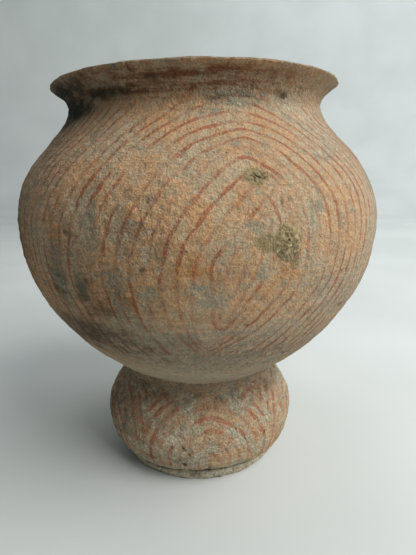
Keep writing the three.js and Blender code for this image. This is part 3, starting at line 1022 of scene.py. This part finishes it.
def add_crust(node, shape):
    across, along, lift, slit = crust_lift(shape)
    station = BELLY_STATION + shape["rise"] + along
    profile = bowl_skin.at(bowl_skin.points, station)
    normal = bowl_skin.at(bowl_skin.normals, station)
    turn = shape["turn"] + np.degrees(across / profile[..., 0])

    def raised(height):
        moved = profile + normal * height[..., None]
        return round_axis(moved[..., 0], moved[..., 1], turn)

    ground = layered(raised(0 * lift), BOWL_LUMPS)
    bottom, top = settle(raised(ground - CRUST_SUNK)), settle(raised(ground + lift))
    place = np.concatenate([bottom, top[::-1]])
    last = len(place) - 1
    # hollow marks the slit on the crust's top, which the soil's finish paints dark as its shadow
    wall = Wall(place, {"hollow": np.concatenate([0 * slit, slit[::-1]])}, pole_rows=(0, last))
    mesh = build_mesh(node, [wall.rows(0, last)], pole_start=True, pole_end=True)
    add_piece(node + "_lump", mesh, node, "burial_soil")


# Materials

def colour(code):
    """A linear colour from a hexadecimal one."""
    parts = [int(code[start:start + 2], 16) / 255 for start in (1, 3, 5)]
    return (*(part / 12.92 if part <= 0.04045 else ((part + 0.055) / 1.055) ** 2.4 for part in parts), 1)


class Finish:
    """A material that is put together from small steps."""

    def __init__(self, name):
        self.material = bpy.data.materials.new(name)
        self.material.use_nodes = True
        self.tree = self.material.node_tree
        self.tree.nodes.clear()
        self.coordinates = self.add("ShaderNodeTexCoord").outputs["Object"]

    def add(self, kind, inputs=(), **settings):
        """A node with its settings, and with a value or a link at each input that is named or numbered."""
        node = self.tree.nodes.new(kind)
        for name, value in settings.items():
            setattr(node, name, value)
        for name, value in dict(inputs).items():
            if isinstance(value, bpy.types.NodeSocket):
                self.tree.links.new(value, node.inputs[name])
            else:
                node.inputs[name].default_value = value
        return node

    def math(self, operation, *values):
        return self.add("ShaderNodeMath", enumerate(values), operation=operation).outputs[0]

    def total(self, *terms, start=0.0):
        """The start, with each value times its weight added to it."""
        for value, weight in terms:
            start = self.math("MULTIPLY_ADD", value, weight, start)
        return start

    def product(self, found, *values):
        for value in values:
            found = self.math("MULTIPLY", found, value)
        return found

    def span(self, value, low, high, bottom=0.0, top=1.0):
        """Smoothly from bottom to top as the value goes from low to high."""
        values = (value, low, high, bottom, top)
        return self.add("ShaderNodeMapRange", enumerate(values), interpolation_type="SMOOTHSTEP").outputs[0]

    def mix(self, share, first, second, blend="MIX"):
        values = {"Factor": share, "A": first, "B": second}
        return self.add("ShaderNodeMix", values, data_type="RGBA", blend_type=blend).outputs["Result"]

    def field(self, name):
        return self.add("ShaderNodeAttribute", attribute_name=name).outputs["Fac"]

    def moved(self, seed, shift, stretch=(1, 1, 1)):
        """The coordinates, moved by the seed's number of shifts."""
        place = [seed * part for part in shift]
        values = {"Vector": self.coordinates, "Location": place, "Scale": stretch}
        return self.add("ShaderNodeMapping", values).outputs[0]

    def noise(self, size, detail=2.0, roughness=0.5, stretch=(1, 1, 1), seed=0):
        """Noise from 0 to 1, in lumps of that size in millimetres."""
        place = self.moved(seed, (0.37, 0.61, 0.23), stretch)
        values = {"Vector": place, "Scale": 1 / (size * MM), "Detail": detail, "Roughness": roughness}
        return self.add("ShaderNodeTexNoise", values).outputs["Fac"]

    def grains(self, size, seed=0):
        """The distance to the nearest grain, and a number of its own for each grain."""
        place = self.moved(seed, (0.19, 0.43, 0.71))
        node = self.add("ShaderNodeTexVoronoi", {"Vector": place, "Scale": 1 / (size * MM)})
        split = self.add("ShaderNodeSeparateColor", {0: node.outputs["Color"]})
        return node.outputs["Distance"], split.outputs[0]

    def finish(self, base, roughness, height, depth, specular=0.3):
        bump = self.add("ShaderNodeBump", {"Distance": depth * MM, "Height": height})
        values = {"Specular IOR Level": specular, "Base Color": base, "Roughness": roughness,
                  "Normal": bump.outputs[0]}
        shader = self.add("ShaderNodeBsdfPrincipled", values)
        self.add("ShaderNodeOutputMaterial", {"Surface": shader.outputs[0]})
        return self.material


BUFF = colour("#b29f83")
SALMON = colour("#c0976e")
GREY_BUFF = colour("#a09782")
OCHRE = colour("#a8713a")
ASH = colour("#8e8d7a")
PALE = colour("#bfb9a4")
# The dark of soot stains, and of the painted shade in hollows and pits
SOOT_AND_SHADE = colour("#383529")
PAINT = colour("#96533b")
WASH = colour("#7a5138")
BARE = colour("#a39984")
INSIDE = colour("#8f7c62")
SOIL = colour("#8f7e5a")
DARK_GRAIN = colour("#4a3f32")
LIGHT_GRAIN = colour("#d9d0ba")
DULL_SOIL = colour("#86775a")
DRY_SOIL = colour("#ac9b74")
DARK_SOIL = colour("#4d412d")
PALE_GRIT = colour("#e3d6b8")
SLIT_SHADOW = colour("#1d1913")
GREY_PAPER = colour("#cdd2d1")
LIGHT_PAPER = colour("#d4d9d8")
# How much lighter each clay is painted: the foot's clay is a lit copy, painted lighter to make up for the shade that
# the bowl casts on it
CLAY_PAINTED_LIGHT_LIFT = {"painted_clay": 1.03, "foot_clay": 1.38, "bare_clay": 1.0}


def painted_line(clay, fine):
    """How strongly the paint covers each place: lines that waver, thin out and are worn away in places."""
    bent = clay.math("SUBTRACT", clay.noise(30, seed=6), 0.5)
    shaken = clay.math("SUBTRACT", clay.noise(6, seed=7), 0.5)
    loop = clay.total((bent, 0.5), (shaken, 0.16), start=clay.field("loop"))
    nearest = clay.math("ROUND", loop)
    away = clay.math("ABSOLUTE", clay.math("SUBTRACT", loop, nearest))
    width = clay.span(clay.noise(12, seed=8), 0.3, 0.7, 0.3, 1.0)
    line = clay.span(clay.product(away, clay.field("pitch")), width, clay.math("ADD", width, 0.8), 1.0, 0.0)
    own = clay.add("ShaderNodeTexWhiteNoise", {"W": nearest}, noise_dimensions="1D").outputs["Value"]
    strength = clay.span(own, 0.0, 0.6, 0.5, 1.0)
    worn = clay.span(clay.noise(24, 5, 0.62, seed=9), 0.38, 0.55, 0.2, 1.0)
    flecked = clay.span(fine, 0.34, 0.54, 0.3, 1.0)
    return clay.product(line, strength, worn, flecked, clay.field("paint"))


def clay_material(name, painted_light_lift):
    clay = Finish(name)
    broad = clay.noise(46, 3, 0.55)
    patchy = clay.noise(17, 4, 0.6, seed=1)
    mottle = clay.noise(6.5, 4, 0.62, seed=2)
    fine = clay.noise(2.4, 3, 0.65, seed=3)
    grit = clay.noise(1.2, 2, 0.62, seed=4)
    wiped = clay.noise(5, 3, 0.6, stretch=(0.16, 0.16, 1.9), seed=5)
    speck = clay.noise(3.1, 3, 0.65, seed=12)
    chalky = clay.noise(2.6, 3, 0.65, seed=15)
    inside, rough, pale, soot_and_shade = (clay.field(field) for field in ("inside", "rough", "pale", "soot_and_shade"))

    # Fired clay, its stains and its paint
    warm = clay.total((broad, 0.3), (patchy, 0.3), (mottle, 0.4))
    ground = clay.mix(clay.span(warm, 0.42, 0.56), BUFF, SALMON)
    ground = clay.mix(clay.span(patchy, 0.52, 0.7, 0.0, 0.5), ground, GREY_BUFF)
    ochre = clay.product(clay.field("ochre"), clay.span(mottle, 0.3, 0.62, 0.3, 1.1))
    ground = clay.mix(ochre, ground, OCHRE)
    ground = clay.mix(clay.field("bare"), ground, BARE)
    ground = clay.mix(inside, ground, INSIDE)
    streaked = clay.total((wiped, 0.65), (mottle, 0.35))
    wash = clay.product(clay.field("wash"), clay.span(streaked, 0.39, 0.6, 0.1, 1.1))
    line = painted_line(clay, fine)
    dressed = clay.mix(clay.product(line, 0.82), clay.mix(wash, ground, WASH), PAINT)

    # Deposits and dirt, and painted shade: on the shaded left side, under the rim, in the corner under the bowl, and
    # in dents, slits and the groove
    ash = clay.field("ash")
    ash_reach = clay.total((mottle, 0.4), (speck, 0.7), (ash, 0.27))
    ash_cover = clay.total((ash, 0.1), start=clay.span(ash_reach, 0.69, 0.74, 0.0, 0.78))
    ash_cover = clay.product(ash_cover, clay.span(fine, 0.36, 0.56, 0.5, 1.0), clay.total((line, -0.5), start=1.0),
                             clay.total((inside, -1.0), start=1.0))
    dressed = clay.mix(ash_cover, dressed, ASH)
    pale_reach = clay.total((chalky, 0.8), (pale, 0.42))
    dressed = clay.mix(clay.span(pale_reach, 0.54, 0.72, 0.0, 0.65), dressed, PALE)
    soil_reach = clay.total((fine, 0.5), (clay.field("soil"), 0.8))
    dressed = clay.mix(clay.span(soil_reach, 0.5, 0.75, 0.0, 0.9), dressed, SOIL)
    # Soot stains, mixed with painted shade on the shaded side, under the rim and under the bowl
    soot_and_shade_reach = clay.total((patchy, 0.3), (mottle, 0.45), (fine, 0.25), (soot_and_shade, 0.2))
    soot_and_shade_cover = clay.product(soot_and_shade, clay.span(soot_and_shade_reach, 0.53, 0.7, clay.product(soot_and_shade, 0.7), 1.15))
    dressed = clay.mix(soot_and_shade_cover, dressed, SOOT_AND_SHADE)
    # Painted shade in the hollows: dents, slots, the scrape and the foot's groove
    dressed = clay.mix(clay.product(clay.field("hollow"), 0.72), dressed, SOOT_AND_SHADE)

    # Grain of the surface: lighter and darker sand, pits darkened with painted shade, and single grains
    shade = clay.total((grit, 0.45), (fine, 0.4), (wiped, 0.22))
    # The lift paints the whole clay lighter: on the foot it is painted light against the bowl's shade
    darkest = clay.total((rough, -0.24 * painted_light_lift), start=0.8 * painted_light_lift)
    lightest = clay.total((rough, 0.2 * painted_light_lift), start=1.16 * painted_light_lift)
    shade = clay.span(shade, 0.36, 0.72, darkest, lightest)
    tone = clay.add("ShaderNodeCombineColor", enumerate((shade, shade, shade))).outputs[0]
    dressed = clay.mix(1.0, dressed, tone, blend="MULTIPLY")
    # Pits, darkened with painted shade
    pit_floor = clay.total((clay.total((rough, 0.3), start=pale), -0.09), start=0.72)
    shaded_pit = clay.span(clay.noise(1.9, 2, 0.6, seed=14), pit_floor, clay.math("ADD", pit_floor, 0.06))
    dressed = clay.mix(clay.product(shaded_pit, 0.75), dressed, SOOT_AND_SHADE)
    away, own = clay.grains(3.6, seed=1)
    dark = clay.product(clay.span(away, 0.06, 0.22, 1.0, 0.0), clay.span(own, 0.94, 0.98))
    dressed = clay.mix(clay.product(dark, 0.8), dressed, DARK_GRAIN)
    away, own = clay.grains(2.3, seed=2)
    light = clay.product(clay.span(away, 0.06, 0.24, 1.0, 0.0), clay.span(own, 0.8, 0.96))
    dressed = clay.mix(clay.product(light, 0.4), dressed, LIGHT_GRAIN)

    flake = clay.span(speck, 0.53, 0.57)
    height = clay.total((grit, 0.46), (fine, 0.62), (wiped, 0.3), (mottle, 1.0), (flake, 0.14),
                        (clay.math("MAXIMUM", dark, shaded_pit), -0.3))
    height = clay.product(height, clay.total((rough, 2.1), start=0.4))
    return clay.finish(dressed, clay.span(fine, 0.3, 0.7, 0.88, 0.99), height, 1.9, specular=0.22)


def soil_material(name):
    soil = Finish(name)
    broad = soil.noise(4, 3, 0.6, seed=2)
    fine = soil.noise(1.5, 3, 0.65)
    grit = soil.noise(0.6, 2, 0.6, seed=1)
    away, own = soil.grains(2.4, seed=3)
    grain = soil.span(away, 0.14, 0.3, 1.0, 0.0)
    ground = soil.mix(soil.span(broad, 0.35, 0.65), DULL_SOIL, DRY_SOIL)
    ground = soil.mix(soil.span(fine, 0.54, 0.68, 0.0, 0.8), ground, DARK_SOIL)
    ground = soil.mix(soil.product(grain, soil.span(own, 0.86, 0.95)), ground, PALE_GRIT)
    # Painted shadow in the slit
    ground = soil.mix(soil.product(soil.field("hollow"), 0.92), ground, SLIT_SHADOW)
    height = soil.total((grit, 0.3), (fine, 0.9), (grain, 0.3))
    return soil.finish(ground, soil.span(grit, 0.3, 0.7, 0.85, 1.0), height, 1.0)


def paper_material(name):
    paper = Finish(name)
    base = paper.mix(paper.span(paper.noise(260), 0.3, 0.7), GREY_PAPER, LIGHT_PAPER)
    return paper.finish(base, 0.9, paper.noise(3), 0.02, specular=0.1)


# Camera, floor and light

def make_camera():
    data = bpy.data.cameras.new("photo_camera")
    data.sensor_fit = "AUTO"
    data.sensor_width = SENSOR_WIDTH
    data.lens = SENSOR_WIDTH * FOCAL_LENGTH_PX / PHOTO_HEIGHT_PX
    camera = add_object("photo_camera", data)
    camera.location = (0, -LENS_BACK * MM, LENS_HEIGHT * MM)
    level = FOCAL_LENGTH_PX * math.cos(math.radians(LENS_PITCH))
    yaw = math.atan((PHOTO_WIDTH_PX / 2 - AXIS_PX) / level)
    camera.rotation_euler = (math.radians(90 - LENS_PITCH), 0, -yaw)
    bpy.context.scene.camera = camera


# The paper stage, in metres: a round floor that sweeps up into a wall on every side
FLOOR_CENTRE_RADIUS = 0.5
FLOOR_RADIUS = 3.0
SWEEP_RADIUS = 1.1
WALL_TOP = 2.4
STAGE_COLUMNS = 96


def make_stage():
    sweep = np.radians(np.linspace(0, 90, 22))
    radius = [FLOOR_CENTRE_RADIUS, *(FLOOR_RADIUS - SWEEP_RADIUS * (1 - np.sin(sweep))), FLOOR_RADIUS]
    height = [0, *(SWEEP_RADIUS * (1 - np.cos(sweep))), WALL_TOP]
    place = turned(np.column_stack([radius, height]), np.arange(STAGE_COLUMNS) * 360 / STAGE_COLUMNS)
    vertices = [(0, 0, 0), *place.reshape(-1, 3).tolist()]
    faces = []
    for column in range(STAGE_COLUMNS):
        beside = (column + 1) % STAGE_COLUMNS
        faces.append((0, 1 + column, 1 + beside))
        for row in range(len(radius) - 1):
            low, high = 1 + row * STAGE_COLUMNS, 1 + (row + 1) * STAGE_COLUMNS
            faces.append((low + column, high + column, high + beside, low + beside))
    mesh = bpy.data.meshes.new("paper_stage")
    mesh.from_pydata(vertices, [], faces)
    mesh.polygons.foreach_set("use_smooth", [True] * len(faces))
    mesh.materials.append(paper_material("paper"))
    add_object("paper_stage", mesh)


# Square lamps: name, place, target, side, power and tint
LAMPS = [
    ("window", (0.88, -0.62, 1.2), (0, 0, 0.15), 1.15, 26.5, (1.0, 0.99, 0.97)),
    ("ceiling", (-0.35, 0.45, 1.5), (-0.3, 0.1, 0), 1.1, 5, (0.98, 1.0, 1.0)),
    ("backdrop_lamp", (1.1, 0.9, 2.25), (1.6, 2.9, 0.7), 1.8, 46, (0.98, 1.0, 1.0)),
]
AIR_TINT = (0.9, 0.96, 1.0, 1)
AIR_STRENGTH = 0.05


def make_light():
    world = bpy.data.worlds.new("studio_air")
    bpy.context.scene.world = world
    world.use_nodes = True
    background = world.node_tree.nodes["Background"]
    background.inputs["Color"].default_value = AIR_TINT
    background.inputs["Strength"].default_value = AIR_STRENGTH
    for name, place, target, side, power, tint in LAMPS:
        data = bpy.data.lights.new(name, "AREA")
        data.shape = "RECTANGLE"
        data.size = data.size_y = side
        data.energy = power
        data.color = tint
        lamp = add_object(name, data)
        lamp.location = place
        lamp.rotation_euler = (Vector(target) - Vector(place)).to_track_quat("-Z", "Y").to_euler()
    bpy.context.scene.view_settings.view_transform = "Standard"


make_camera()
make_stage()
make_light()
materials = {slot: clay_material(slot, painted_light_lift) for slot, painted_light_lift in CLAY_PAINTED_LIGHT_LIFT.items()}
materials["burial_soil"] = soil_material("burial_soil")
cut_bowl()
cut_foot()
add_coils()
for crust_node, crust_shape in CRUSTS.items():
    add_crust(crust_node, crust_shape)
